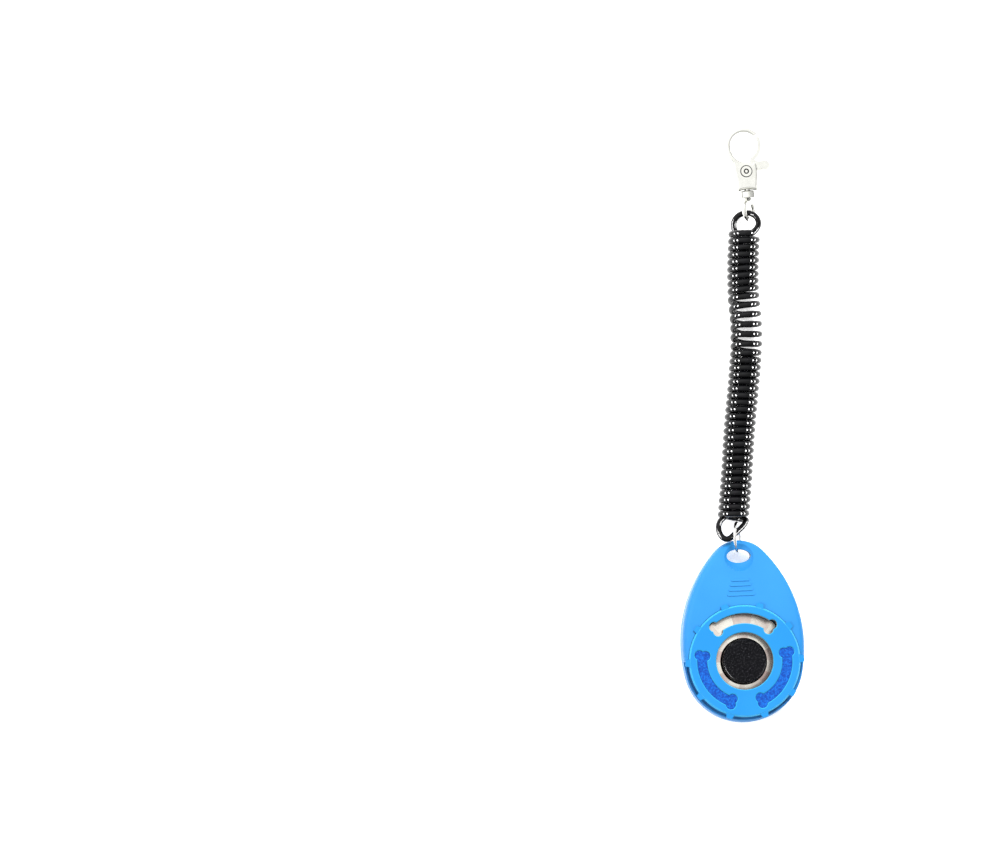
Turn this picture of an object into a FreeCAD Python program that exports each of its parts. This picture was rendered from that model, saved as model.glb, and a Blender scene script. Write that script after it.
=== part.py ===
import FreeCAD, Part
import math
import os
import re

# A clicker trainer with a curly lanyard, lying flat on its back.
# Frame: origin on the dial's axis, on the plane it rests on; +Y towards the
# lanyard, +X to the right, +Z up through the button. Millimetres throughout.

Vector = FreeCAD.Vector
Z_AXIS = Vector(0, 0, 1)

doc = FreeCAD.newDocument("clicker_trainer")
sheet = doc.addObject("Spreadsheet::Sheet", "Dimensions")

DIMENSIONS = [
    # casing outline, an egg made of four tangent arcs
    ("tail_radius", 21.2),
    ("tail_centre_y", -0.5),
    ("nose_radius", 11.6),
    ("nose_centre_y", 31.8),
    ("side_radius", 50.2),
    ("wall", 1.4),
    # casing heights
    ("parting_height", 5.7),
    ("dome_radius", 140.0),
    ("dome_centre_y", 6.7),
    ("dome_top", 12.1),
    ("upsweep_radius", 81.0),
    ("upsweep_start_y", 18.0),
    ("casing_span", 60.0),
    # lanyard hole
    ("hole_width", 8.6),
    ("hole_length", 4.8),
    ("hole_centre_y", 37.7),
    ("dimple_radius", 8.0),
    ("dimple_centre_y", 38.5),
    ("bar_bottom", 5.0),
    ("bar_top", 6.65),
    # dial seat in the front shell
    ("lip_height", 9.0),
    ("lip_end_y", 0.6),
    ("pocket_radius", 20.12),
    ("groove_radius", 20.7),
    ("seat_wall_radius", 23.15),
    ("floor_top", 8.2),
    ("floor_bottom", 7.0),
    ("floor_opening_radius", 18.9),
    # dial
    ("dial_radius", 20.0),
    ("dial_bottom", 8.5),
    ("dial_top", 12.9),
    ("dial_hole_radius", 10.25),
    ("skirt_outer_radius", 18.8),
    ("skirt_inner_radius", 18.0),
    ("skirt_neck_radius", 18.45),
    ("skirt_neck_top", 6.85),
    ("skirt_bottom", 5.95),
    ("tooth_reach", 21.3),
    ("tooth_root_width", 3.4),
    ("tooth_tip_width", 2.0),
    ("tooth_bottom", 12.2),
    ("tooth_top", 12.8),
    ("tooth_count", 10),
    # bone shapes in the dial
    ("bone_inner_radius", 13.45),
    ("bone_outer_radius", 17.05),
    ("bone_half_angle", 39.5),
    ("knob_radius", 1.75),
    ("knob_outer_place", 16.35),
    ("knob_inner_place", 14.2),
    ("bone_pocket_depth", 1.5),
    ("inlay_thickness", 1.05),
    ("inlay_gap", 0.06),
    # ring that keeps the dial in
    ("keeper_outer_radius", 19.45),
    ("keeper_top", 6.75),
    ("notch_radius", 0.9),
    # sounding plate and the frame under it
    ("plate_radius", 17.6),
    ("plate_inner_radius", 8.6),
    ("plate_hole_radius", 8.4),
    ("plate_rim_height", 7.5),
    ("plate_top_height", 8.3),
    ("plate_thickness", 0.5),
    ("plate_sides", 14),
    ("frame_outer_radius", 17.4),
    ("frame_inner_radius", 15.8),
    # button and its snap dome
    ("button_base_radius", 8.1),
    ("button_top_radius", 7.7),
    ("button_bottom", 7.0),
    ("button_top", 13.5),
    ("flange_radius", 9.4),
    ("flange_bottom", 6.2),
    ("stem_radius", 2.4),
    ("stem_bottom", 4.75),
    ("snap_radius", 8.0),
    ("snap_base", 3.25),
    ("snap_rise", 1.4),
    ("snap_thickness", 0.35),
    ("cup_outer_radius", 9.2),
    ("cup_inner_radius", 6.8),
    # screws through the neck
    ("screw_x", 6.4),
    ("screw_y", 27.2),
    ("screw_radius", 0.9),
    ("screw_head_radius", 1.8),
    ("boss_radius", 2.3),
    # jump ring on the casing's loop bar
    ("ring_radius", 5.2),
    ("ring_wire_radius", 0.5),
    ("ring_centre_y", 44.4),
    ("ring_centre_z", 5.97),
    ("ring_tilt", 15.0),
    # curly lanyard
    ("cord_diameter", 2.1),
    ("coil_diameter", 11.6),
    # swivel trigger clasp
    ("clasp_x", 9.5),
    ("clasp_y", 175.5),
    ("clasp_z", 3.85),
    ("clasp_turn", 1.7),
    ("claw_centre_x", -0.1),
    ("claw_centre_y", 9.3),
    ("claw_inner_radius", 4.8),
    ("claw_outer_radius", 6.5),
    ("claw_thickness", 3.4),
    ("cheek_thickness", 4.4),
    ("slot_thickness", 2.0),
    ("trigger_thickness", 1.6),
    ("rivet_radius", 1.0),
    ("rivet_head_radius", 1.9),
    ("rivet_seat_radius", 2.15),
    ("rivet_seat_depth", 0.45),
    ("eye_radius", 3.3),
    ("eye_wire_radius", 0.8),
    ("eye_centre_drop", 14.0),
    ("eye_turn", 55.0),
    ("collar_radius", 3.2),
    ("collar_place", 8.225),
    ("collar_height", 3.05),
    ("swivel_stem_radius", 1.0),
]

for row, (alias, value) in enumerate(DIMENSIONS, start=1):
    sheet.set(f"A{row}", alias)
    sheet.set(f"B{row}", str(value))
    sheet.setAlias(f"B{row}", alias)
doc.recompute()

ALIASES = sorted((alias for alias, _ in DIMENSIONS), key=len, reverse=True)
ALIAS_WORDS = re.compile(r"\b(" + "|".join(ALIASES) + r")\b")


def size(alias):
    """The value of one driving dimension."""
    return float(sheet.get(alias))


def bind(item, **formulas):
    """Bind properties of a document object to formulas over the sheet."""
    for name, formula in formulas.items():
        path = name.replace("__", ".")
        item.setExpression(path, ALIAS_WORDS.sub(r"Dimensions.\1", formula))
    return item


# ---------------------------------------------------------------- primitives

def cylinder(name, radius, bottom, top, x="0", y="0"):
    item = doc.addObject("Part::Cylinder", name)
    bind(item, Radius=radius, Height=f"({top}) - ({bottom})")
    return bind(item, Placement__Base__x=x, Placement__Base__y=y, Placement__Base__z=bottom)


def ring(name, outer, inner, bottom, top):
    """A plain tube section about the dial's axis."""
    return cut(name, cylinder(name + "_outer", outer, bottom, top), cylinder(name + "_inner", inner, bottom, top))


def long_cylinder(name, radius, y, z):
    """A cylinder along X, used for the casing's curved top and underside."""
    item = doc.addObject("Part::Cylinder", name)
    item.Placement = FreeCAD.Placement(Vector(), FreeCAD.Rotation(Vector(0, 1, 0), 90))
    bind(item, Radius=radius, Height="casing_span")
    return bind(item, Placement__Base__x="-casing_span / 2", Placement__Base__y=y, Placement__Base__z=z)


def box(name, x, y, z, length, width, height):
    item = doc.addObject("Part::Box", name)
    bind(item, Length=length, Width=width, Height=height)
    return bind(item, Placement__Base__x=x, Placement__Base__y=y, Placement__Base__z=z)


def cut(name, base, *tools):
    for place, tool in enumerate(tools):
        item = doc.addObject("Part::Cut", name if place == len(tools) - 1 else f"{name}_step{place}")
        item.Base = base
        item.Tool = tool
        base = item
    return base


def fuse(name, *pieces):
    item = doc.addObject("Part::MultiFuse", name)
    item.Shapes = list(pieces)
    item.Refine = True
    return item


def common(name, *pieces):
    item = doc.addObject("Part::MultiCommon", name)
    item.Shapes = list(pieces)
    return item


def feature(name, shape):
    item = doc.addObject("Part::Feature", name)
    item.Shape = shape
    return item


def rounded(name, base, radius_at):
    """Round the edges for which radius_at(edge) gives a radius."""
    doc.recompute()
    item = doc.addObject("Part::Fillet", name)
    item.Base = base
    edges = []
    for number, edge in enumerate(base.Shape.Edges, start=1):
        radii = radius_at(edge)
        if radii:
            edges.append((number, radii[0], radii[1]))
    item.Edges = edges
    return item


def chamfered(name, base, amount, wanted):
    doc.recompute()
    item = doc.addObject("Part::Chamfer", name)
    item.Base = base
    item.Edges = [(n, amount, amount) for n, edge in enumerate(base.Shape.Edges, start=1) if wanted(edge)]
    return item


def circle_at(edge, radius, height, tolerance=0.02):
    """Whether an edge is a level circle of this radius at this height."""
    curve = edge.Curve
    if not isinstance(curve, Part.Circle):
        return False
    return abs(curve.Radius - radius) < tolerance and abs(curve.Center.z - height) < tolerance


# ------------------------------------------------------------ casing outline

def egg_face(inset, height):
    """The casing's outline, moved in by inset, as a level face."""
    tail_radius = size("tail_radius") - inset
    nose_radius = size("nose_radius") - inset
    side_radius = size("side_radius") - inset
    tail = Vector(0, size("tail_centre_y"), height)
    nose = Vector(0, size("nose_centre_y"), height)
    span = nose.y - tail.y
    to_tail = side_radius - tail_radius
    to_nose = side_radius - nose_radius
    along = (to_tail ** 2 - to_nose ** 2 + span ** 2) / (2 * span)
    side_x = math.sqrt(to_tail ** 2 - along ** 2)
    edges = []
    meet = {}
    for hand in (1, -1):
        side = Vector(-hand * side_x, tail.y + along, height)
        low = tail + (tail - side).normalize() * tail_radius
        high = nose + (nose - side).normalize() * nose_radius
        middle = side + ((low - side).normalize() + (high - side).normalize()).normalize() * side_radius
        edges.append(Part.Arc(low, middle, high).toShape())
        meet[hand] = (low, high)
    tail_end = tail - Vector(0, tail_radius, 0)
    nose_end = nose + Vector(0, nose_radius, 0)
    edges.append(Part.Arc(meet[1][0], tail_end, meet[-1][0]).toShape())
    edges.append(Part.Arc(meet[1][1], nose_end, meet[-1][1]).toShape())
    return Part.Face(Part.Wire(Part.__sortEdges__(edges)))


def egg_prism(name, inset, bottom, top):
    low = size(bottom) if isinstance(bottom, str) else bottom
    high = size(top) if isinstance(top, str) else top
    return feature(name, egg_face(inset, low).extrude(Vector(0, 0, high - low)))


def hole_prism(name, widen=0.0):
    """The oval lanyard hole, right through the casing."""
    oval = Part.Ellipse(Vector(0, size("hole_centre_y"), -1), size("hole_width") / 2 + widen,
                        size("hole_length") / 2 + widen)
    return feature(name, Part.Face(Part.Wire(oval.toShape())).extrude(Vector(0, 0, 16)))


def dimple(name, centre_z):
    """A shallow round dish about the lanyard hole that slims the loop bar."""
    item = doc.addObject("Part::Sphere", name)
    return bind(item, Radius="dimple_radius", Placement__Base__y="dimple_centre_y", Placement__Base__z=centre_z)


def nose_graded(edge, full, at_nose):
    """Fillet radii that shrink from full round the tail to at_nose at the nose."""
    first = edge.valueAt(edge.FirstParameter).y
    last = edge.valueAt(edge.LastParameter).y
    middle = edge.valueAt((edge.FirstParameter + edge.LastParameter) / 2).y

    def radius(y):
        return at_nose if y > size("nose_centre_y") else full

    if abs(first - last) < 0.5:
        value = radius(middle)
        return value, value
    return (radius(last), radius(first)) if edge.Orientation == "Reversed" else (radius(first), radius(last))


# -------------------------------------------------------------- front shell

def make_front_shell():
    """Domed front: dial seat, floor ring, neck, loop bar and grip ridges."""
    dome = long_cylinder("dome", "dome_radius", "dome_centre_y", "dome_top - dome_radius")
    block = common("front_block", egg_prism("front_prism", 0, "parting_height", 20), dome)

    def top_radii(edge):
        box_of = edge.BoundBox
        level = box_of.ZMin > size("parting_height") + 0.5
        upright = box_of.ZLength > 0.9 * edge.Length
        return nose_graded(edge, 2.6, 1.2) if level and not upright else None

    outer = rounded("front_outer", block, top_radii)
    inner_dome = long_cylinder("inner_dome", "dome_radius - wall", "dome_centre_y", "dome_top - dome_radius")
    neck_inner = common("neck_inner", egg_prism("neck_prism", size("wall"), "parting_height", 20), inner_dome)
    seat_wall = cylinder("seat_wall", "seat_wall_radius", "0", "20")
    hole_wall = box("hole_wall", "-casing_span / 2", "hole_centre_y - hole_length / 2 - 2 * wall", "0",
                    "casing_span", "20", "20")
    neck_space = cut("neck_space", neck_inner, seat_wall, hole_wall)
    under_floor = common("under_floor", egg_prism("under_floor_prism", size("wall"), "parting_height", "floor_bottom"),
                         cylinder("under_floor_reach", "seat_wall_radius", "0", "20"))
    open_tail = box("open_tail", "-casing_span / 2", "lip_end_y - 30", "lip_height", "casing_span", "30", "20")
    tail_half = box("tail_half", "-casing_span / 2", "lip_end_y - 30", "0", "casing_span", "30", "20")
    groove = common("groove", cylinder("groove_reach", "groove_radius", "floor_top", "12"), tail_half)
    shell = cut("front_hollow", outer, neck_space, under_floor, open_tail, groove,
                cylinder("pocket", "pocket_radius", "floor_top", "25"),
                cylinder("floor_opening", "floor_opening_radius", "0", "25"),
                dimple("front_dimple", "bar_top + dimple_radius"), hole_prism("front_hole"))
    bosses = []
    for hand, side in ((1, "right"), (-1, "left")):
        boss = cylinder(f"boss_{side}", "boss_radius", "parting_height + 0.05", "10.2", f"{hand} * screw_x", "screw_y")
        bore = cylinder(f"boss_bore_{side}", "screw_radius", "0", "9.2", f"{hand} * screw_x", "screw_y")
        bosses.append(cut(f"boss_drilled_{side}", boss, bore))
    ridges = make_grip_ridges()
    return fuse("front_shell", shell, *bosses, ridges)


def make_grip_ridges():
    """Four short level ridges for the thumb, a little proud of the dome."""
    proud = long_cylinder("proud_dome", "dome_radius + 0.35", "dome_centre_y", "dome_top - dome_radius")
    bars = []
    for number in range(4):
        width = 9.0 - 1.1 * number
        place = 23.4 + 1.75 * number
        bar = box(f"ridge_{number}", str(-width / 2), str(place), "9.6", str(width), "0.8", "4")
        ends = [cylinder(f"ridge_end_{number}_{end}", "0.4", "9.6", "13.6", str(hand * width / 2), str(place + 0.4))
                for end, hand in enumerate((1, -1))]
        bars.append(fuse(f"ridge_bar_{number}", bar, *ends))
    return common("grip_ridges", fuse("ridge_bars", *bars), proud)


# --------------------------------------------------------------- rear shell

def make_rear_shell():
    """Flat back that sweeps up to the loop bar; hollow inside."""
    block = common("rear_block", egg_prism("rear_prism", 0, 0, "parting_height"),
                   fuse("back_profile",
                        long_cylinder("upsweep", "upsweep_radius", "upsweep_start_y", "upsweep_radius"),
                        box("flat_back", "-casing_span / 2", "-30", "0", "casing_span", "30 + upsweep_start_y", "20")))

    def back_radii(edge):
        low = edge.BoundBox.ZMax < size("parting_height") - 0.5
        along_outline = edge.BoundBox.YLength > 1
        return nose_graded(edge, 2.0, 1.2) if low and along_outline else None

    outer = rounded("rear_outer", block, back_radii)
    inner_profile = fuse("inner_profile",
                         long_cylinder("inner_upsweep", "upsweep_radius - wall", "upsweep_start_y", "upsweep_radius"),
                         box("inner_flat", "-casing_span / 2", "-30", "wall", "casing_span",
                             "30 + upsweep_start_y", "20"))
    hollow = cut("rear_hollow", common("rear_inner", egg_prism("rear_inner_prism", size("wall"), 0, "parting_height"),
                                       inner_profile),
                 box("rear_hole_wall", "-casing_span / 2", "hole_centre_y - hole_length / 2 - wall", "0",
                     "casing_span", "20", "20"))
    pieces = [cut("rear_cup", outer, hollow, dimple("rear_dimple", "bar_bottom - dimple_radius"),
                  hole_prism("rear_hole"))]
    for hand, side in ((1, "right"), (-1, "left")):
        pieces.append(cylinder(f"post_{side}", "boss_radius", "1.2", "parting_height - 0.05",
                               f"{hand} * screw_x", "screw_y"))
    drills = []
    for hand, side in ((1, "right"), (-1, "left")):
        place = (f"{hand} * screw_x", "screw_y")
        drills.append(cylinder(f"shank_hole_{side}", "screw_radius + 0.15", "-1", "6", *place))
        drills.append(cylinder(f"head_hole_{side}", "screw_head_radius + 0.2", "-1", "2.6", *place))
    return cut("rear_shell", fuse("rear_with_posts", *pieces), *drills)


def make_shell_screws():
    """Two small screws, heads sunk in the back of the neck."""
    screws = []
    for hand, side in ((1, "right"), (-1, "left")):
        place = (f"{hand} * screw_x", "screw_y")
        head = cylinder(f"head_{side}", "screw_head_radius", "1.3", "2.6", *place)
        shank = cylinder(f"shank_{side}", "screw_radius - 0.02", "2.6", "8.9", *place)
        screw = fuse(f"screw_{side}", head, shank)
        slots = [box(f"drive_{side}_{turn}", f"{place[0]} - {half_x}", f"{place[1]} - {half_y}", "1.2",
                     f"2 * {half_x}", f"2 * {half_y}", "0.7")
                 for turn, (half_x, half_y) in enumerate(((1.0, 0.25), (0.25, 1.0)))]
        screws.append(cut(f"driven_{side}", screw, *slots))
    doc.recompute()
    return feature("shell_screws", Part.makeCompound([screw.Shape for screw in screws]))


# -------------------------------------------------------------------- dial

def bone(name, angle, inset, bottom, top):
    """A bone bent along the dial: a ring sector with two knobs at each end."""
    pieces = []
    for part, radius in (("far", f"bone_outer_radius - {inset}"), ("near", f"bone_inner_radius + {inset}")):
        sector = cylinder(f"{name}_{part}", radius, bottom, top)
        sector.Placement = FreeCAD.Placement(Vector(), FreeCAD.Rotation(Z_AXIS, 90 + angle - size("bone_half_angle")))
        bind(sector, Angle="2 * bone_half_angle", Placement__Base__z=bottom)
        pieces.append(sector)
    pieces = [cut(f"{name}_shaft", *pieces)]
    for hand in (1, -1):
        turn = math.radians(90 + angle + hand * size("bone_half_angle"))
        for place in ("knob_outer_place", "knob_inner_place"):
            pieces.append(cylinder(f"{name}_{place}_{'a' if hand > 0 else 'b'}", f"knob_radius - {inset}", bottom, top,
                                   f"{place} * {math.cos(turn):.9f}", f"{place} * {math.sin(turn):.9f}"))
    return fuse(name, *pieces)


def make_dial():
    """Notched dial: bone window, two bone pockets, finger teeth and a skirt."""
    disc = cylinder("dial_disc", "dial_radius", "dial_bottom", "dial_top")
    rim = chamfered("dial_rim", disc, 0.55, lambda edge: circle_at(edge, size("dial_radius"), size("dial_top")))
    teeth = []
    for number in range(int(size("tooth_count"))):
        tooth = doc.addObject("Part::Wedge", f"tooth_{number}")
        angle = 360.0 * (number + 0.5) / size("tooth_count")
        tooth.Placement = FreeCAD.Placement(Vector(), FreeCAD.Rotation(Z_AXIS, angle))
        bind(tooth, Xmin="-tooth_root_width / 2", Xmax="tooth_root_width / 2",
             X2min="-tooth_tip_width / 2", X2max="tooth_tip_width / 2",
             Ymin="dial_radius - 1", Ymax="tooth_reach",
             Zmin="tooth_bottom", Zmax="tooth_top", Z2min="tooth_bottom", Z2max="tooth_top - 0.15")
        teeth.append(tooth)
    skirt = ring("skirt", "skirt_outer_radius", "skirt_inner_radius", "skirt_neck_top", "dial_bottom + 0.5")
    neck = ring("skirt_neck", "skirt_neck_radius", "skirt_inner_radius", "skirt_bottom", "skirt_neck_top")
    body = fuse("dial_body", rim, skirt, neck, *teeth)
    hole = cylinder("dial_hole", "dial_hole_radius", "0", "20")
    window = bone("window", 0, "0", "dial_bottom - 1", "dial_top + 1")
    pockets = [bone(f"pocket_{side}", angle, "0", "dial_top - bone_pocket_depth", "dial_top + 1")
               for side, angle in (("left", 120), ("right", -120))]
    cored = cut("dial_cored", body, hole, window, *pockets)

    def top_edge(edge):
        level = edge.BoundBox.ZLength < 1e-6 and abs(edge.BoundBox.ZMin - size("dial_top")) < 1e-6
        reach = max(edge.BoundBox.XMax, -edge.BoundBox.XMin, edge.BoundBox.YMax, -edge.BoundBox.YMin)
        return level and reach < size("knob_outer_place") + 2.2

    return chamfered("dial", cored, 0.28, top_edge)


def make_dial_keeper():
    """Ring snapped on the skirt's neck under the floor; three detent notches."""
    keeper = ring("keeper_ring", "keeper_outer_radius", "skirt_neck_radius", "skirt_bottom", "keeper_top")
    notches = []
    for number in range(3):
        turn = math.radians(90 + 120 * number)
        notches.append(cylinder(f"notch_{number}", "notch_radius", "0", "20",
                                f"(keeper_outer_radius + 0.3) * {math.cos(turn):.9f}",
                                f"(keeper_outer_radius + 0.3) * {math.sin(turn):.9f}"))
    return cut("dial_keeper", keeper, *notches)


def make_detent_spring():
    """Bowed leaf in the neck whose bump sits in the keeper's notch."""
    height = size("keeper_top") - size("skirt_bottom") - 0.1
    low = size("skirt_bottom") + 0.05
    line = [(-6.0, 22.6), (-4.0, 21.6), (-1.2, 20.5), (0.0, 19.75), (1.2, 20.5), (4.0, 21.6), (6.0, 22.6)]
    thickness = 0.3
    front = [Vector(x, y, low) for x, y in line]
    back = [Vector(x, y + thickness * 1.15, low) for x, y in reversed(line)]
    outline = Part.makePolygon(front + back + [front[0]])
    return feature("detent_spring", Part.Face(outline).extrude(Vector(0, 0, height)))


# -------------------------------------------------------------- click works

def polygon(radius, height):
    sides = int(size("plate_sides"))
    turns = [math.radians(90 + 360.0 * (number + 0.5) / sides) for number in range(sides)]
    points = [Vector(radius * math.cos(turn), radius * math.sin(turn), height) for turn in turns]
    return Part.makePolygon(points + [points[0]])


def make_sound_plate():
    """Dished steel plate with flat facets, thin, with a hole for the button."""
    rim = size("plate_rim_height")
    thickness = size("plate_thickness")
    base = Part.Face(polygon(size("plate_radius"), rim - thickness - 0.1)).extrude(Vector(0, 0, thickness + 0.1))
    dish = Part.makeLoft([polygon(size("plate_radius"), rim),
                          polygon(size("plate_inner_radius"), size("plate_top_height"))], True, True)
    solid = base.fuse(dish)
    under = solid.copy()
    under.translate(Vector(0, 0, -thickness))
    hole = Part.makeCylinder(size("plate_hole_radius"), 20)
    return feature("sound_plate", solid.cut(under).cut(hole).removeSplitter())


def make_push_button():
    """Button cap with a keeper flange and the stem that snaps the dome."""
    cap = doc.addObject("Part::Cone", "button_cap")
    bind(cap, Radius1="button_base_radius", Radius2="button_top_radius", Height="button_top - button_bottom",
         Placement__Base__z="button_bottom")
    crown = rounded("button_crown", cap,
                    lambda edge: (0.7, 0.7) if circle_at(edge, size("button_top_radius"), size("button_top")) else None)
    flange = cylinder("button_flange", "flange_radius", "flange_bottom", "button_bottom - 0.15")
    waist = cylinder("button_waist", "button_base_radius", "flange_bottom + 0.2", "button_bottom")
    stem = cylinder("button_stem", "stem_radius", "stem_bottom", "flange_bottom")
    return fuse("push_button", crown, flange, waist, stem)


def make_snap_dome():
    """Shallow sprung steel dome that makes the click."""
    rise = size("snap_rise")
    reach = size("snap_radius")
    sphere_radius = (reach ** 2 + rise ** 2) / (2 * rise)
    centre = Vector(0, 0, size("snap_base") + rise - sphere_radius)
    outer = Part.makeSphere(sphere_radius, centre)
    inner = Part.makeSphere(sphere_radius - size("snap_thickness"), centre)
    keep = Part.makeCylinder(reach, 10, Vector(0, 0, size("snap_base")))
    return feature("snap_dome", outer.cut(inner).common(keep))


def make_dome_cup():
    return ring("dome_cup", "cup_outer_radius", "cup_inner_radius", "wall", "snap_base")


def make_mechanism_frame():
    """Ring that carries the sounding plate above the back."""
    return ring("mechanism_frame", "frame_outer_radius", "frame_inner_radius", "wall",
                "plate_rim_height - plate_thickness")


# ------------------------------------------------------- jump ring and cord

def make_jump_ring():
    """Round wire ring through the loop bar, its upper side leaning left."""
    item = doc.addObject("Part::Torus", "jump_ring")
    item.Placement = FreeCAD.Placement(Vector(), FreeCAD.Rotation(Vector(0, 1, 0), 90 - size("ring_tilt")))
    return bind(item, Radius1="ring_radius", Radius2="ring_wire_radius",
                Placement__Base__y="ring_centre_y", Placement__Base__z="ring_centre_z")


COIL_ROUTE = [
    (-1.15, 51.0, 6.1), (0.85, 66.0, 6.1), (2.4, 82.0, 6.1), (5.05, 100.0, 6.1),
    (7.2, 118.0, 6.1), (5.85, 136.0, 6.1), (7.75, 153.5, 6.1),
]

LOWER_LOOP_ROUTE = [
    (-6.0, 51.0, 6.85), (-6.9, 48.4, 7.75), (-6.5, 45.8, 8.85), (-5.3, 44.0, 9.35), (-3.4, 43.7, 9.35),
    (-1.6, 45.1, 8.85), (0.3, 46.8, 8.25), (2.6, 48.6, 7.45), (3.4, 51.0, 6.75),
]

UPPER_LOOP_ROUTE = [
    (11.2, 153.5, 9.0), (13.1, 155.8, 7.5), (12.7, 158.7, 5.75), (10.8, 160.5, 4.55), (8.0, 160.8, 3.95),
    (5.3, 159.5, 3.55), (4.0, 156.9, 3.15), (4.6, 153.5, 2.75),
]


def tangent_path(name, route):
    """Straight runs joined by tangent arcs; each arc as large as its runs allow."""
    points = [Vector(*point) for point in route]
    edges = []
    radii = []
    start = points[0]
    for before, corner, after in zip(points, points[1:], points[2:]):
        inward = corner - before
        outward = after - corner
        turn = inward.getAngle(outward)
        setback = 0.45 * min(inward.Length, outward.Length)
        radius = setback / math.tan(turn / 2)
        radii.append(radius)
        into = corner - inward.normalize() * setback
        out = corner + outward.normalize() * setback
        middle_line = (into + out) * 0.5 - corner
        to_centre = math.sqrt(radius ** 2 + setback ** 2)
        middle = corner + middle_line.normalize() * (to_centre - radius)
        edges.append(Part.LineSegment(start, into).toShape())
        edges.append(Part.Arc(into, middle, out).toShape())
        start = out
    edges.append(Part.LineSegment(start, points[-1]).toShape())
    print(name, "bend radii", [round(radius, 1) for radius in radii])
    return Part.Wire(edges)


def tube(name, route, diameter):
    """A round tube along a route, checked against section times length."""
    path = tangent_path(name, route)
    heading = Vector(*route[1]) - Vector(*route[0])
    section = Part.Wire(Part.Circle(Vector(*route[0]), heading, diameter / 2).toShape())
    solid = path.makePipeShell([section], True, False)
    expected = math.pi * diameter ** 2 / 4 * path.Length
    if abs(solid.Volume / expected - 1) > 0.02:
        raise RuntimeError(f"{name}: volume {solid.Volume:.1f}, expected {expected:.1f}")
    return feature(name, solid)


# ------------------------------------------------------------------- clasp

def clasp_placement(height=0.0):
    """The clasp's own frame: rivet at the origin, swivel axis along -Y."""
    return FreeCAD.Placement(Vector(size("clasp_x"), size("clasp_y"), size("clasp_z") + height),
                             FreeCAD.Rotation(Z_AXIS, size("clasp_turn")))


def plate(edges, thickness):
    """A flat blank of this thickness, centred on the clasp's own plane."""
    face = Part.Face(Part.Wire(Part.__sortEdges__(edges)))
    face.translate(Vector(0, 0, -thickness / 2))
    return face.extrude(Vector(0, 0, thickness))


def sector(inner, outer, first, last, thickness):
    """A ring sector about the claw's centre, centred on the clasp's plane."""
    centre = Vector(size("claw_centre_x"), size("claw_centre_y"), -thickness / 2)
    turned = [Part.makeCylinder(radius, thickness, centre, Z_AXIS, last - first) for radius in (outer, inner)]
    for piece in turned:
        piece.rotate(centre, Z_AXIS, first)
    return turned[0].cut(turned[1])


def bevel(shape, radius, wanted=lambda edge: True):
    """Round the level outline edges of a flat blank, as a casting has."""
    edges = [edge for edge in shape.Edges if edge.BoundBox.ZLength < 1e-6 and wanted(edge)]
    return shape.makeFillet(radius, edges)


def spline_edge(points):
    curve = Part.BSplineCurve()
    curve.interpolate([Vector(x, y, 0) for x, y in points])
    return curve.toShape()


def make_clasp_body():
    """Claw with a spine, two cheeks for the trigger and a swivel bore."""
    centre_x = size("claw_centre_x")
    centre_y = size("claw_centre_y")
    outer = size("claw_outer_radius")
    inner = size("claw_inner_radius")
    left = (centre_x - outer, centre_y)
    left_inner = (centre_x - inner, centre_y)
    outline = [
        spline_edge([left, (-6.4, 6.9), (-5.6, 4.9), (-4.7, 3.45)]),
        spline_edge([(-4.7, 3.45), (-4.3, 0.0), (-3.9, -3.4), (-3.6, -7.1)]),
        Part.Arc(Vector(-3.6, -7.1, 0), Vector(0, -6.35, 0), Vector(3.6, -7.1, 0)).toShape(),
        spline_edge([(3.6, -7.1), (3.9, -3.0), (4.1, 0.6), (3.6, 3.1)]),
        spline_edge([(3.6, 3.1), (1.8, 3.1), (-1.0, 3.5), (-3.6, 5.4), left_inner]),
        Part.LineSegment(Vector(*left_inner, 0), Vector(*left, 0)).toShape(),
    ]
    cheeks = bevel(plate(outline, size("cheek_thickness")), 0.8, lambda edge: edge.BoundBox.YMin < centre_y - 0.1)
    claw = bevel(sector(inner, outer, 38, 182, size("claw_thickness")), 0.75,
                 lambda edge: isinstance(edge.Curve, Part.Circle))
    solid = cheeks.fuse(claw)
    slot_height = size("slot_thickness")
    slot = Part.makeBox(20, 9.4, slot_height, Vector(-2.9, -2.9, -slot_height / 2))
    bore = Part.makeCylinder(size("swivel_stem_radius") + 0.08, 4.5, Vector(0, -7.5, 0), Vector(0, 1, 0))
    chamber = Part.makeCylinder(1.75, 1.6, Vector(0, -4.8, 0), Vector(0, 1, 0))
    rivet_hole = Part.makeCylinder(size("rivet_radius"), 10, Vector(0, 0, -5))
    seat_floor = size("cheek_thickness") / 2 - size("rivet_seat_depth")
    rivet_seat = Part.makeCylinder(size("rivet_seat_radius"), 2, Vector(0, 0, seat_floor))
    gate_reach = Part.makeCylinder(13.9, slot_height, Vector(0, 0, -slot_height / 2))
    nose_groove = gate_reach.common(Part.makeBox(10, 9, 4, Vector(centre_x, 6.4, -2)))
    solid = solid.cut(slot).cut(nose_groove).cut(bore).cut(chamber).cut(rivet_hole).cut(rivet_seat)
    solid.Placement = clasp_placement().multiply(solid.Placement)
    return feature("clasp_body", solid)


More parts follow.
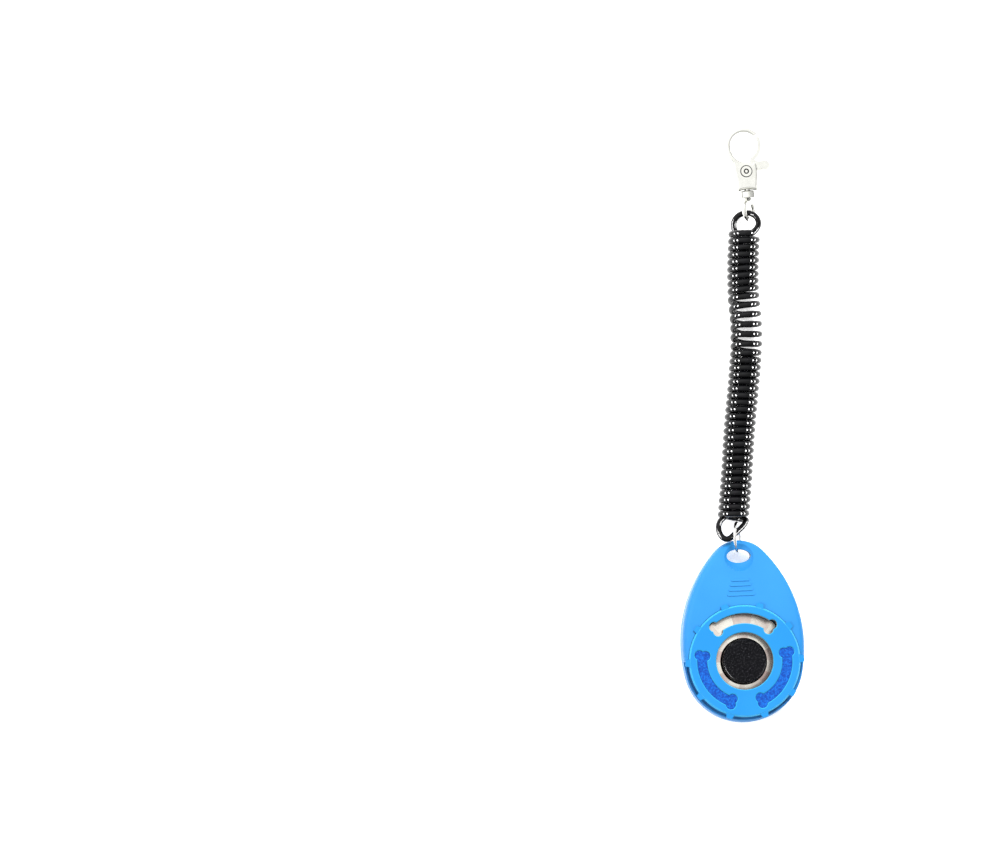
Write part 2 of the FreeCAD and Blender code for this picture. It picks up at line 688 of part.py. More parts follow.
def make_clasp_trigger():
    """Gate arm that closes the claw, with its hub and thumb tab."""
    thickness = size("trigger_thickness")
    low = -thickness / 2
    hub = Part.makeCylinder(2.6, thickness, Vector(0, 0, low))
    arm = sector(5.0, 6.3, -70, 30, thickness)
    web = plate([Part.LineSegment(Vector(*a, 0), Vector(*b, 0)).toShape() for a, b in
                 (((0.4, 2.4), (2.6, 0.2)), ((2.6, 0.2), (4.4, 3.6)), ((4.4, 3.6), (2.4, 4.6)), ((2.4, 4.6), (0.4, 2.4)))],
                thickness)
    tab = Part.makeBox(5.4, 3.2, thickness, Vector(2.4, 0.3, low))
    grip = Part.makeCylinder(1.75, 3.0, Vector(6.9, 1.9, -1.5))
    hole = Part.makeCylinder(size("rivet_radius") + 0.05, 10, Vector(0, 0, -5))
    solid = hub.multiFuse([arm, web, tab, grip]).removeSplitter().cut(hole)
    solid.Placement = clasp_placement().multiply(solid.Placement)
    return feature("clasp_trigger", solid)


def make_clasp_rivet():
    """Headed rivet, its upper head set in a seat and peened with a ring groove."""
    half = size("cheek_thickness") / 2
    seat_floor = half - size("rivet_seat_depth")
    shank = Part.makeCylinder(size("rivet_radius"), 2 * half, Vector(0, 0, -half))
    upper_head = Part.makeCylinder(size("rivet_head_radius"), 0.75, Vector(0, 0, seat_floor))
    lower_head = Part.makeCylinder(size("rivet_head_radius"), 0.45, Vector(0, 0, -half - 0.45))
    groove = Part.makeCylinder(0.95, 1, Vector(0, 0, half)).cut(Part.makeCylinder(0.5, 1, Vector(0, 0, half)))
    solid = shank.multiFuse([upper_head, lower_head]).removeSplitter().cut(groove)
    solid.Placement = clasp_placement().multiply(solid.Placement)
    return feature("clasp_rivet", solid)


def make_clasp_spring():
    """Small leaf behind the trigger's hub that swings the gate shut."""
    width = 1.2
    back = Part.Arc(Vector(-2.72, -2.2, 0), Vector(-2.82, 0.2, 0), Vector(-2.72, 2.4, 0)).toShape()
    front = Part.Arc(Vector(-2.66, -2.2, 0), Vector(-2.72, 0.2, 0), Vector(-2.66, 2.4, 0)).toShape()
    ends = [Part.LineSegment(Vector(-2.72, y, 0), Vector(-2.66, y, 0)).toShape() for y in (-2.2, 2.4)]
    solid = plate([back, front] + ends, width)
    solid.Placement = clasp_placement().multiply(solid.Placement)
    return feature("clasp_spring", solid)


def make_clasp_eye():
    """Swivel eye: wire ring, domed collar and the stem headed inside the body."""
    place = size("collar_place")
    half = size("collar_height") / 2
    along = Vector(0, 1, 0)
    collar = Part.makeCylinder(size("collar_radius"), 2 * half, Vector(0, -place - half, 0), along)
    collar = collar.makeFillet(0.5, [edge for edge in collar.Edges if edge.BoundBox.YMax < -place])
    dome_radius = 8.2
    collar = collar.common(Part.makeSphere(dome_radius, Vector(0, half - place - dome_radius, 0)))
    stem = Part.makeCylinder(size("swivel_stem_radius"), place - half - 3.2, Vector(0, -place + half - 0.2, 0), along)
    head = Part.makeCylinder(1.55, 0.9, Vector(0, -4.5, 0), along)
    wire = Part.makeTorus(size("eye_radius"), size("eye_wire_radius"), Vector(), Z_AXIS)
    wire.rotate(Vector(), along, size("eye_turn"))
    wire.translate(Vector(0, -size("eye_centre_drop"), 0))
    neck = Part.makeCone(1.5, 2.4, 1.2, Vector(0, -place - half - 1.0, 0), along)
    solid = collar.multiFuse([stem, head, neck, wire]).removeSplitter()
    solid.Placement = clasp_placement().multiply(solid.Placement)
    return feature("clasp_eye", solid)


# ---------------------------------------------------------------- assembly

nodes = {
    "front_shell": make_front_shell(),
    "rear_shell": make_rear_shell(),
    "shell_screws": make_shell_screws(),
    "dial": make_dial(),
    "bone_inlay_left": bone("bone_inlay_left", 120, "inlay_gap", "dial_top - bone_pocket_depth",
                            "dial_top - bone_pocket_depth + inlay_thickness"),
    "bone_inlay_right": bone("bone_inlay_right", -120, "inlay_gap", "dial_top - bone_pocket_depth",
                             "dial_top - bone_pocket_depth + inlay_thickness"),
    "dial_keeper": make_dial_keeper(),
    "detent_spring": make_detent_spring(),
    "sound_plate": make_sound_plate(),
    "mechanism_frame": make_mechanism_frame(),
    "push_button": make_push_button(),
    "snap_dome": make_snap_dome(),
    "dome_cup": make_dome_cup(),
    "jump_ring": make_jump_ring(),
    "lanyard_lower_loop": tube("lanyard_lower_loop", LOWER_LOOP_ROUTE, size("cord_diameter")),
    "lanyard_coil": tube("lanyard_coil", COIL_ROUTE, size("coil_diameter")),
    "lanyard_upper_loop": tube("lanyard_upper_loop", UPPER_LOOP_ROUTE, size("cord_diameter")),
    "clasp_eye": make_clasp_eye(),
    "clasp_body": make_clasp_body(),
    "clasp_trigger": make_clasp_trigger(),
    "clasp_rivet": make_clasp_rivet(),
    "clasp_spring": make_clasp_spring(),
}
doc.recompute()

for item in doc.Objects:
    if "Invalid" in item.State or "Error" in item.State:
        raise RuntimeError(f"{item.Name} failed: {item.State}")
for label, item in nodes.items():
    item.Label = label
    if item.Shape.isNull() or not item.Shape.isValid():
        raise RuntimeError(f"{label} has no valid shape")
    if item.Shape.Volume <= 0:
        raise RuntimeError(f"{label} has no volume")

os.makedirs("parts", exist_ok=True)
for label, item in nodes.items():
    item.Shape.exportStep(f"parts/{label}.step")
    print(label, len(item.Shape.Solids), "solid", round(item.Shape.Volume, 1), "mm3")
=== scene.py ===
import math

import bmesh
import bpy
from mathutils import Matrix, Vector, noise


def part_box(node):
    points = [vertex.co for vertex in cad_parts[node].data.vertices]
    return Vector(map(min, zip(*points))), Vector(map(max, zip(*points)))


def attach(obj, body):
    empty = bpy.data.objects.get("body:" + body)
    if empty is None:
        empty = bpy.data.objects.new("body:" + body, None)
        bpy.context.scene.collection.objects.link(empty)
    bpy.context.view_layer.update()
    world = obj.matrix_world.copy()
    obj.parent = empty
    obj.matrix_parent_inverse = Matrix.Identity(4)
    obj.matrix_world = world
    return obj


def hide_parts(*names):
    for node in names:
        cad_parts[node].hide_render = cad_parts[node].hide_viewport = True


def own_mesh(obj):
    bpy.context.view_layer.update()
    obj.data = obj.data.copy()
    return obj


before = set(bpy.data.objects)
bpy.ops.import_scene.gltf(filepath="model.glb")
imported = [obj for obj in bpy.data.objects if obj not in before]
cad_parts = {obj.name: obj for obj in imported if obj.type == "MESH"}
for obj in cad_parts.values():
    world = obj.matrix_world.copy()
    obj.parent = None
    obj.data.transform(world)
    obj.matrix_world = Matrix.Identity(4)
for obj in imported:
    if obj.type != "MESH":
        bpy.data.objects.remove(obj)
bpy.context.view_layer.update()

MM = 0.001
scene = bpy.context.scene


# ------------------------------------------------------------------ camera

CAMERA_DISTANCE = 3.0
CAMERA_CLIP_END = 20.0
SENSOR_WIDTH = 36.0
VIEW_WIDTH = 356.4 * MM
VIEW_ROLL = math.radians(2.4)
TO_CAMERA = Vector((-0.070, -0.055, 1.0)).normalized()

# The view's centre from the dial's, to the right and up in the view.
VIEW_CENTRE = (-87.3 * MM, 83.2 * MM)


def make_camera():
    """Near top-down long lens; the dial sits low and right in the frame."""
    dial_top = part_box("dial")[1][2]
    across = Vector((math.cos(VIEW_ROLL), -math.sin(VIEW_ROLL), 0.0))
    right = (across - TO_CAMERA * across.dot(TO_CAMERA)).normalized()
    up = TO_CAMERA.cross(right)
    aim = Vector((0, 0, dial_top)) + right * VIEW_CENTRE[0] + up * VIEW_CENTRE[1]
    place = aim + TO_CAMERA * CAMERA_DISTANCE
    data = bpy.data.cameras.new("camera")
    data.sensor_width = SENSOR_WIDTH
    data.lens = SENSOR_WIDTH * CAMERA_DISTANCE / VIEW_WIDTH
    data.clip_end = CAMERA_CLIP_END
    camera = bpy.data.objects.new("camera", data)
    turn = Matrix((right, up, TO_CAMERA)).transposed().to_4x4()
    camera.matrix_world = Matrix.Translation(place) @ turn
    scene.collection.objects.link(camera)
    scene.camera = camera


make_camera()


# -------------------------------------------------------------------- cord

CORD_DIAMETER = 2.3 * MM
LOOP_DIAMETER = 2.1 * MM
COIL_RADIUS = 4.65 * MM
COIL_UNEVENNESS = 0.02
TIGHT_PITCH = 2.52 * MM
POINTS_PER_TURN = 16
AXIS_RESOLUTION = 24

# Where the coil is pulled open: what that adds to its pitch, its middle along Y, and its reach each way.
STRETCH = 1.02 * MM
STRETCH_PLACE = 121.2 * MM
STRETCH_REACH = 10.5 * MM

# How turns lean along the axis: their tops all along the coil, and where it is pulled open, a stair
# that keeps each turn level round this angle from its top and makes it climb on the far side.
TOP_LEAN = -0.2 * MM
STAIR = 0.85 * MM
STAIR_SHARPNESS = 0.25
STAIR_LEVEL = math.radians(70.0)

# Routes in millimetres.
COIL_ROUTE = [
    (-1.15, 51.0, 6.1), (0.85, 66.0, 6.1), (2.4, 82.0, 6.1), (5.05, 100.0, 6.1),
    (7.2, 118.0, 6.1), (5.85, 136.0, 6.1), (7.75, 153.5, 6.1),
]

LOWER_END = [(-0.7, 58.0, 6.1), (-1.2, 55.4, 6.2), (-2.7, 52.8, 6.5)]

LOWER_LOOP_ROUTE = [
    (-5.7, 51.0, 6.85), (-6.9, 48.4, 7.75), (-6.5, 45.8, 8.85), (-5.3, 44.0, 9.35), (-3.4, 43.7, 9.35),
    (-1.6, 45.1, 8.85), (0.3, 46.8, 8.25), (2.6, 48.6, 7.45), (3.4, 51.0, 6.75),
]

UPPER_LOOP_ROUTE = [
    (11.2, 153.5, 9.0), (13.1, 155.8, 7.5), (12.7, 158.7, 5.75), (10.8, 160.5, 4.55), (8.0, 160.8, 3.95),
    (5.3, 159.5, 3.55), (4.0, 156.9, 3.15), (4.7, 154.0, 3.2),
]

UPPER_END = [(6.1, 151.8, 4.6), (7.1, 149.2, 5.7), (7.2, 146.0, 6.1)]


def in_metres(route):
    return [Vector(point) * MM for point in route]


def nurbs(name, points, resolution=4):
    """An open NURBS spline of order 3 on a list of control points, as thick as the cord."""
    data = bpy.data.curves.new(name, "CURVE")
    data.dimensions = "3D"
    data.resolution_u = resolution
    spline = data.splines.new("NURBS")
    spline.points.add(len(points) - 1)
    for control, point in zip(spline.points, points):
        control.co = (*point, 1.0)
        control.radius = CORD_DIAMETER / 2
    spline.order_u = 3
    spline.use_endpoint_u = True
    piece = bpy.data.objects.new(name, data)
    scene.collection.objects.link(piece)
    return piece


def line_of(points):
    """The smooth line that a route's NURBS spline follows."""
    guide = nurbs("guide", points, AXIS_RESOLUTION)
    mesh = bpy.data.meshes.new_from_object(guide)
    line = [vertex.co.copy() for vertex in mesh.vertices]
    bpy.data.objects.remove(guide)
    bpy.data.meshes.remove(mesh)
    return line


def pulled(y):
    """How far the coil is pulled open here: one a little past its middle, nought elsewhere."""
    gap = (y - STRETCH_PLACE) / STRETCH_REACH
    return math.exp(-gap ** 4)


def lean_of(angle, y):
    """How far along the axis a turn leans at this angle from its top."""
    late = angle - STAIR_LEVEL
    stair = STAIR * pulled(y) * (STAIR_SHARPNESS * math.sin(2 * late) - math.sin(late))
    return TOP_LEAN * math.cos(angle) + stair


def radius_of(done):
    """The coil's slightly uneven radius after this many turns."""
    return COIL_RADIUS * (1.0 + COIL_UNEVENNESS * noise.noise(Vector((done * 0.9, 0.3, 0.7))))


def turns_along(axis):
    """How many turns the coil has made at each point of its axis line."""
    turned = [0.0]
    for before, after in zip(axis, axis[1:]):
        pitch = TIGHT_PITCH + STRETCH * pulled(before.y)
        turned.append(turned[-1] + (after - before).length / pitch)
    return turned


def coil_points(axis, start_turn, end_turn):
    """Control points of the right-handed coil about its axis line."""
    turned = turns_along(axis)
    part = end_turn - start_turn
    turns = round(turned[-1] - part) + part
    # An order 3 spline on a ring of control points runs at this share of their radius.
    share_of_radius = 0.75 + 0.25 * math.cos(math.tau / POINTS_PER_TURN)
    points = []
    place = 0
    for number in range(int(turns * POINTS_PER_TURN) + 1):
        done = number / POINTS_PER_TURN
        wanted = done / turns * turned[-1]
        while place < len(axis) - 2 and turned[place + 1] < wanted:
            place += 1
        share = (wanted - turned[place]) / (turned[place + 1] - turned[place])
        centre = axis[place].lerp(axis[place + 1], share)
        along = (axis[place + 1] - axis[place]).normalized()
        side = along.cross(Vector((0, 0, 1))).normalized()
        over = side.cross(along)
        angle = math.tau * (start_turn + done)
        outward = side * math.sin(angle) + over * math.cos(angle)
        reach = radius_of(done) / share_of_radius
        points.append(centre + outward * reach + along * lean_of(angle, centre.y))
    return points


def turn_of(point, centre):
    """Where round the coil a loop's end leaves it, in turns from the top."""
    return math.atan2(point.x - centre.x, point.z - centre.z) / math.tau


def make_cord():
    """One length of cord: loop on the ring, about 39 close turns, loop on the clasp."""
    axis = line_of(in_metres(COIL_ROUTE))
    lower = in_metres(LOWER_END + LOWER_LOOP_ROUTE)
    upper = in_metres(UPPER_LOOP_ROUTE + UPPER_END)
    coil = coil_points(axis, turn_of(lower[-1], axis[0]), turn_of(upper[0], axis[-1]))
    piece = nurbs("lanyard_cord", lower[:-1] + coil + upper[1:])
    controls = piece.data.splines[0].points
    for control in [*controls[:len(lower)], *controls[1 - len(upper):]]:
        control.radius = LOOP_DIAMETER / 2
    piece.data.bevel_depth = 1.0
    piece.data.bevel_resolution = 6
    piece.data.use_fill_caps = True
    return piece


cord = make_cord()
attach(cord, "lanyard")
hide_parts("lanyard_lower_loop", "lanyard_coil", "lanyard_upper_loop")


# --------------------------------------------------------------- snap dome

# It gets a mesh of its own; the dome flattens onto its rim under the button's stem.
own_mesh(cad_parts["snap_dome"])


# --------------------------------------------------------------- materials

HOLE_CENTRE = (0.0, 37.7 * MM)
DIAL_CENTRE = (0.0, 0.0)
# Where painted shade goes on the clasp: two rings round the rivet and the cheeks' side walls.
RIVET_CENTRE = (9.5 * MM, 175.5 * MM)
RIVET_RINGS = [(0.5 * MM, 0.98 * MM), (1.86 * MM, 2.2 * MM)]
CHEEKS_CENTRE = (9.6 * MM, 172.0 * MM)
CHEEKS_REACH = 6.3 * MM


class Nodes:
    """A small builder for one material's node tree."""

    def __init__(self, name):
        self.material = bpy.data.materials.new(name)
        self.material.use_nodes = True
        self.tree = self.material.node_tree
        self.shader = self.tree.nodes["Principled BSDF"]
        coordinates = self.tree.nodes.new("ShaderNodeTexCoord")
        self.place = coordinates.outputs["Object"]
        self.facing = coordinates.outputs["Normal"]

    def add(self, kind, values=None, links=None, **settings):
        node = self.tree.nodes.new(kind)
        for name, value in settings.items():
            setattr(node, name, value)
        for name, value in (values or {}).items():
            node.inputs[name].default_value = value
        for name, source in (links or {}).items():
            self.tree.links.new(source, node.inputs[name])
        return node

    def grain(self, scale, detail=3.0, rough=0.55):
        node = self.add("ShaderNodeTexNoise", {"Scale": scale, "Detail": detail, "Roughness": rough},
                        {"Vector": self.place})
        return node.outputs["Fac"]

    def spread(self, source, low, high, start=0.3, end=0.7):
        limits = {"From Min": start, "From Max": end, "To Min": low, "To Max": high}
        return self.add("ShaderNodeMapRange", limits, {"Value": source}).outputs["Result"]

    def colours(self, source, first, second, start=0.35, end=0.65):
        node = self.add("ShaderNodeValToRGB", links={"Fac": source})
        node.color_ramp.elements[0].position = start
        node.color_ramp.elements[0].color = (*first, 1)
        node.color_ramp.elements[1].position = end
        node.color_ramp.elements[1].color = (*second, 1)
        return node.outputs["Color"]

    def mixed(self, share, first, second):
        node = self.add("ShaderNodeMix", {7: (*second, 1)}, {0: share, 6: first}, data_type="RGBA")
        return node.outputs[2]

    def bevels(self):
        """One on faces that slope about 45 degrees, nought on level and upright ones; the mask for a painted
        highlight on bevels.
        """
        slope = self.add("ShaderNodeSeparateXYZ", links={"Vector": self.facing}).outputs["Z"]
        gap = self.add("ShaderNodeMath", {1: 0.72}, {0: slope}, operation="SUBTRACT")
        size = self.add("ShaderNodeMath", links={0: gap.outputs["Value"]}, operation="ABSOLUTE")
        return self.spread(size.outputs["Value"], 1.0, 0.0, 0.08, 0.2)

    def walls(self, centre, reach):
        """One on upright faces within reach of an upright axis through centre; the mask for painted shade on
        walls.
        """
        slope = self.add("ShaderNodeSeparateXYZ", links={"Vector": self.facing}).outputs["Z"]
        size = self.add("ShaderNodeMath", links={0: slope}, operation="ABSOLUTE")
        upright = self.spread(size.outputs["Value"], 1.0, 0.0, 0.1, 0.3)
        near = self.spread(self.distance(centre), 1.0, 0.0, reach, reach * 1.02)
        return self.add("ShaderNodeMath", links={0: upright, 1: near}, operation="MULTIPLY").outputs["Value"]

    def distance(self, centre):
        """How far the point is from an upright axis through centre."""
        flat = self.add("ShaderNodeVectorMath", {1: (1.0, 1.0, 0.0)}, {0: self.place}, operation="MULTIPLY")
        away = self.add("ShaderNodeVectorMath", {1: (*centre, 0.0)}, {0: flat.outputs["Vector"]},
                        operation="DISTANCE")
        return away.outputs["Value"]

    def rings(self, centre, bands):
        """One within any of the bands of radius about an upright axis through centre."""
        away = self.distance(centre)
        total = None
        for inner, outer in bands:
            middle = self.add("ShaderNodeMath", {1: (inner + outer) / 2}, {0: away}, operation="SUBTRACT")
            gap = self.add("ShaderNodeMath", links={0: middle.outputs["Value"]}, operation="ABSOLUTE")
            half = (outer - inner) / 2
            band = self.spread(gap.outputs["Value"], 1.0, 0.0, half * 0.8, half)
            if total is None:
                total = band
            else:
                both = self.add("ShaderNodeMath", links={0: total, 1: band}, operation="MAXIMUM")
                total = both.outputs["Value"]
        return total

    def bump(self, source, depth, under=None):
        links = {"Height": source}
        if under is not None:
            links["Normal"] = under
        return self.add("ShaderNodeBump", {"Distance": depth, "Strength": 1.0}, links).outputs["Normal"]

    def finish(self, colour, rough, normal, **uniform):
        self.tree.links.new(colour, self.shader.inputs["Base Color"])
        self.tree.links.new(rough, self.shader.inputs["Roughness"])
        self.tree.links.new(normal, self.shader.inputs["Normal"])
        for name, value in uniform.items():
            self.shader.inputs[name.replace("_", " ")].default_value = value
        return self.material


def moulded(name, light, dark, rough=0.36, bevel_highlight=None, walls=()):
    """Satin moulded plastic: spark-eroded grain, flow clouds, a painted highlight on bevels and painted shade
    on deep walls.
    """
    n = Nodes(name)
    fine = n.grain(5200.0)
    clouds = n.grain(65.0, 2.0)
    normal = n.bump(clouds, 0.02 * MM, under=n.bump(fine, 0.006 * MM))
    colour = n.colours(clouds, dark, light)
    # Painted highlight: faces sloping about 45 degrees get a lighter colour, standing in for the bright rims
    # light makes on bevels.
    if bevel_highlight is not None:
        colour = n.mixed(n.bevels(), colour, bevel_highlight)
    # Painted shade: upright walls near the given axis get a darker colour, standing in for the shadow inside
    # recesses.
    for centre, reach, shade in walls:
        colour = n.mixed(n.walls(centre, reach), colour, shade)
    return n.finish(colour, n.spread(fine, rough - 0.05, rough + 0.08), normal, Specular_IOR_Level=0.35)


def leathery(name, light, dark):
    """Dark inlay with a pebbled texture, as moulded imitation leather."""
    n = Nodes(name)
    cells = n.add("ShaderNodeTexVoronoi", {"Scale": 1300.0}, {"Vector": n.place}).outputs["Distance"]
    fine = n.grain(1500.0, 4.0, 0.7)
    normal = n.bump(cells, 0.10 * MM, under=n.bump(fine, 0.05 * MM))
    colour = n.colours(fine, dark, light, 0.42, 0.60)
    return n.finish(colour, n.spread(cells, 0.35, 0.6, 0.0, 0.8), normal, Specular_IOR_Level=0.3)


def speckled(name, light, dark):
    """Black button: coarse sand-blast grain that sparkles on its face; its lighter grey specks are partly
    painted glints.
    """
    n = Nodes(name)
    sand = n.grain(1700.0, 4.0, 0.75)
    patch = n.grain(180.0, 2.0)
    normal = n.bump(sand, 0.06 * MM)
    # The grain's lighter grey specks are partly the button's own speckle and partly painted glints.
    colour = n.colours(sand, dark, light, 0.54, 0.74)
    return n.finish(colour, n.spread(patch, 0.22, 0.34), normal, Specular_IOR_Level=0.10)


def rolled_steel(name, light, dark, rough, painted_facets=0):
    """Rolled strip steel with fine lines round the dial's axis; on a pressed dish each facet gets its own
    random brightness, a painted reflection.
    """
    n = Nodes(name)
    lines = n.add("ShaderNodeTexNoise", {"Scale": 9000.0, "Detail": 2.0}, {"W": n.distance(DIAL_CENTRE)},
                  noise_dimensions="1D").outputs["Fac"]
    cloud = n.grain(160.0, 3.0)
    tone_and_facet_sheen = cloud
    # Painted reflection: each facet of the dish is lighter or darker at random, standing in for the different
    # light its slope catches.
    if painted_facets:
        axes = n.add("ShaderNodeSeparateXYZ", links={"Vector": n.place})
        turn = n.add("ShaderNodeMath", links={0: axes.outputs["X"], 1: axes.outputs["Y"]},
                     operation="ARCTAN2")
        step = n.add("ShaderNodeMath", {1: painted_facets / math.tau, 2: 0.5}, {0: turn.outputs["Value"]},
                     operation="MULTIPLY_ADD")
        whole = n.add("ShaderNodeMath", links={0: step.outputs["Value"]}, operation="FLOOR")
        scatter = n.add("ShaderNodeMath", {1: -0.618, 2: 20.2}, {0: whole.outputs["Value"]},
                        operation="MULTIPLY_ADD")
        each = n.add("ShaderNodeMath", links={0: scatter.outputs["Value"]}, operation="FRACT")
        tone_and_facet_sheen = n.add("ShaderNodeMath", {1: 0.6}, {0: each.outputs["Value"], 2: cloud},
                     operation="MULTIPLY_ADD").outputs["Value"]
    normal = n.bump(lines, 0.003 * MM, under=n.bump(cloud, 0.02 * MM))
    stops = (0.45, 1.15) if painted_facets else (0.35, 0.65)
    colour = n.colours(tone_and_facet_sheen, dark, light, *stops)
    return n.finish(colour, n.spread(lines, rough - 0.05, rough + 0.08), normal, Metallic=1.0)


def plated(name, light, dark, rough, shaded_joins=False):
    """Bright plating over a casting or wire; shaded_joins paints shade on the clasp's rivet rings and side
    walls.
    """
    n = Nodes(name)
    waves = n.grain(420.0, 2.0)
    pits = n.grain(6000.0, 3.0)
    normal = n.bump(waves, 0.008 * MM, under=n.bump(pits, 0.002 * MM))
    colour = n.colours(waves, dark, light)
    if shaded_joins:
        # Painted shade: the cheeks' upright walls and two rings round the rivet are darkened to stand in for
        # their shadows.
        colour = n.mixed(n.walls(CHEEKS_CENTRE, CHEEKS_REACH), colour, (0.12, 0.12, 0.115))
        colour = n.mixed(n.rings(RIVET_CENTRE, RIVET_RINGS), colour, (0.015, 0.015, 0.014))
    return n.finish(colour, n.spread(pits, rough, rough + 0.08), normal, Metallic=1.0)


def glossy_cord(name):
    """Extruded glossy black plastic with faint die lines and dulled patches."""
    n = Nodes(name)
    patch = n.grain(300.0, 3.0)
    fine = n.grain(4200.0, 2.0)
    normal = n.bump(fine, 0.002 * MM)
    colour = n.colours(patch, (0.001, 0.001, 0.0013), (0.004, 0.004, 0.005))
    return n.finish(colour, n.spread(patch, 0.04, 0.08), normal, Specular_IOR_Level=0.25)


# The casing's lanyard hole wall gets painted shade, a near-black blue.
casing_blue = moulded("casing_blue", (0.021, 0.206, 0.520), (0.018, 0.192, 0.495),
                      walls=[(HOLE_CENTRE, 5.0 * MM, (0.001, 0.020, 0.060))])
# The dial's bevels get a painted highlight; its outer rim wall gets painted shade, and the walls of its
# window and button hole get near-black painted shade.
dial_blue = moulded("dial_blue", (0.010, 0.206, 0.520), (0.008, 0.192, 0.495), rough=0.32,
                    bevel_highlight=(0.035, 0.34, 0.64),
                    walls=[(DIAL_CENTRE, 22.0 * MM, (0.005, 0.090, 0.280)),
                           (DIAL_CENTRE, 18.6 * MM, (0.0005, 0.005, 0.016))])
inlay_blue = leathery("inlay_blue", (0.004, 0.115, 0.500), (0.001, 0.038, 0.270))
button_black = speckled("button_black", (0.055, 0.055, 0.062), (0.001, 0.001, 0.002))
inner_black = moulded("inner_black", (0.030, 0.030, 0.034), (0.020, 0.020, 0.024), rough=0.5)
# The dish's facets get painted reflection, ranging between its cream and pinkish-brown colours.
dish_steel = rolled_steel("dish_steel", (0.90, 0.88, 0.80), (0.60, 0.47, 0.44), 0.20, painted_facets=14)
strip_steel = rolled_steel("strip_steel", (0.80, 0.70, 0.64), (0.66, 0.55, 0.50), 0.28)
screw_steel = rolled_steel("screw_steel", (0.70, 0.70, 0.69), (0.55, 0.55, 0.54), 0.3)
wire_plate = plated("wire_plate", (0.93, 0.93, 0.91), (0.80, 0.80, 0.78), 0.12)
# The clasp's castings carry painted shade on the rivet rings and cheek walls.
cast_plate = plated("cast_plate", (0.97, 0.97, 0.92), (0.91, 0.91, 0.86), 0.16, shaded_joins=True)

FINISHES = {
    "front_shell": casing_blue, "rear_shell": casing_blue,
    "dial": dial_blue, "bone_inlay_left": inlay_blue, "bone_inlay_right": inlay_blue,
    "push_button": button_black,
    "dial_keeper": inner_black, "mechanism_frame": inner_black, "dome_cup": inner_black,
    "sound_plate": dish_steel, "snap_dome": strip_steel, "detent_spring": strip_steel,
    "clasp_spring": strip_steel, "shell_screws": screw_steel, "jump_ring": wire_plate,
    "clasp_eye": cast_plate, "clasp_body": cast_plate, "clasp_trigger": cast_plate, "clasp_rivet": cast_plate,
}


def paint(piece, material):
    if not piece.material_slots:
        piece.data.materials.append(material)
    for place in piece.material_slots:
        place.material = material


for node, finish in FINISHES.items():
    paint(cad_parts[node], finish)
paint(cord, glossy_cord("cord_gloss"))


# ------------------------------------------------------------------ studio

FLOOR_REACH = 1.6
FLOOR_PLACE = (0, 0.05, -0.02 * MM)
LIGHTS_AIM = Vector((0.0, 0.09, 0.0))
LIGHTS_DISTANCE = 0.85


def make_floor():
    """A plain white floor that shines a little, as a lit table does."""
    mesh = bpy.data.meshes.new("floor")
    form = bmesh.new()
    bmesh.ops.create_grid(form, x_segments=8, y_segments=8, size=FLOOR_REACH)
    form.to_mesh(mesh)
    form.free()
    floor = bpy.data.objects.new("floor", mesh)
    floor.location = FLOOR_PLACE
    scene.collection.objects.link(floor)
    n = Nodes("floor_white")
    cloud = n.grain(3.0, 2.0)
    colour = n.colours(cloud, (0.93, 0.93, 0.93), (0.95, 0.95, 0.95))
    rough = n.spread(cloud, 0.85, 0.95)
    normal = n.bump(n.grain(900.0), 0.01 * MM)
    paint(floor, n.finish(colour, rough, normal, Specular_IOR_Level=0.1, Emission_Color=(1, 1, 1, 1),
                          Emission_Strength=0.5))


def softbox(name, heading, width, length, radiance, diffuse=True, glossy=True):
    """A rectangular softbox facing the object, its long side as near to Y as it can be."""
    heading = Vector(heading).normalized()
    data = bpy.data.lights.new(name, "AREA")
    data.shape = "RECTANGLE"
    data.size = length
    data.size_y = width
    data.energy = radiance * math.pi * width * length
    light = bpy.data.objects.new(name, data)
    light.location = LIGHTS_AIM + heading * LIGHTS_DISTANCE
    light.rotation_euler = heading.to_track_quat("Z", "Y").to_euler()
    light.visible_diffuse = diffuse
    light.visible_glossy = glossy
    scene.collection.objects.link(light)
    return light


def strip(name, heading, width, length, radiance, *lit):
    """A strip light that only makes highlights, and only on a few pieces."""
    light = softbox(name, heading, width, length, radiance, diffuse=False)
    group = bpy.data.collections.new(name + "_lit")
    for piece in lit:
        group.objects.link(piece)
    light.light_linking.receiver_collection = group


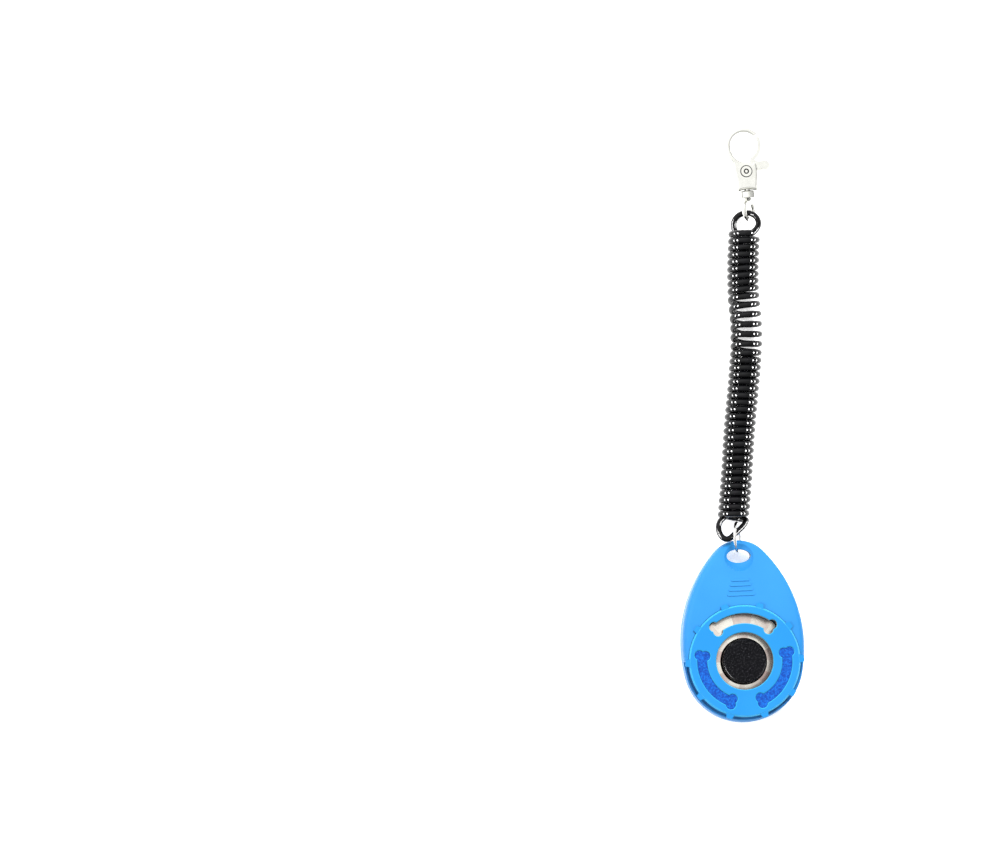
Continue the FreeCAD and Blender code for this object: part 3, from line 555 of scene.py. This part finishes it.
def make_world():
    """White tent overhead that falls off to grey near the horizon."""
    world = bpy.data.worlds.new("studio")
    world.use_nodes = True
    tree = world.node_tree
    place = tree.nodes.new("ShaderNodeTexCoord").outputs["Generated"]
    split = tree.nodes.new("ShaderNodeSeparateXYZ")
    tree.links.new(place, split.inputs["Vector"])
    ramp = tree.nodes.new("ShaderNodeValToRGB")
    ramp.color_ramp.elements[0].position = 0.05
    ramp.color_ramp.elements[0].color = (0.10, 0.10, 0.11, 1)
    ramp.color_ramp.elements[1].position = 0.45
    ramp.color_ramp.elements[1].color = (1.0, 1.0, 0.99, 1)
    tree.links.new(split.outputs["Z"], ramp.inputs["Fac"])
    across = tree.nodes.new("ShaderNodeVectorMath")
    across.operation = "DOT_PRODUCT"
    across.inputs[1].default_value = (-0.55, 0.60, 0.58)
    tree.links.new(place, across.inputs[0])
    fall = tree.nodes.new("ShaderNodeMapRange")
    for name, value in (("From Min", 0.2), ("From Max", 0.9), ("To Min", 0.58), ("To Max", 1.42)):
        fall.inputs[name].default_value = value
    tree.links.new(across.outputs["Value"], fall.inputs["Value"])
    background = tree.nodes["Background"]
    tree.links.new(ramp.outputs["Color"], background.inputs["Color"])
    tree.links.new(fall.outputs["Result"], background.inputs["Strength"])
    scene.world = world


def make_studio():
    """Two soft lights, four strips for the cord's highlights and two for the button's."""
    make_world()
    softbox("key", (0.35, 0.60, 0.95), 0.35, 0.35, 24, glossy=False)
    softbox("fill", (-0.75, -0.20, 0.80), 0.35, 0.35, 8, glossy=False)
    for side, name in ((-1, "left"), (1, "right")):
        strip(name + "_inner", (side * 0.80, 0.0, 0.60), 0.12, 0.75, 130, cord)
        strip(name + "_outer", (side * 0.99, 0.0, 0.13), 0.11, 0.75, 85, cord)
    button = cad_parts["push_button"]
    strip("button_edge", (-0.75, -0.60, 0.35), 0.16, 0.50, 140, button)
    strip("button_grain", (0.70, -0.45, 0.60), 0.12, 0.30, 80, button)
    scene.view_settings.view_transform = "Standard"


make_floor()
make_studio()

bpy.context.view_layer.update()
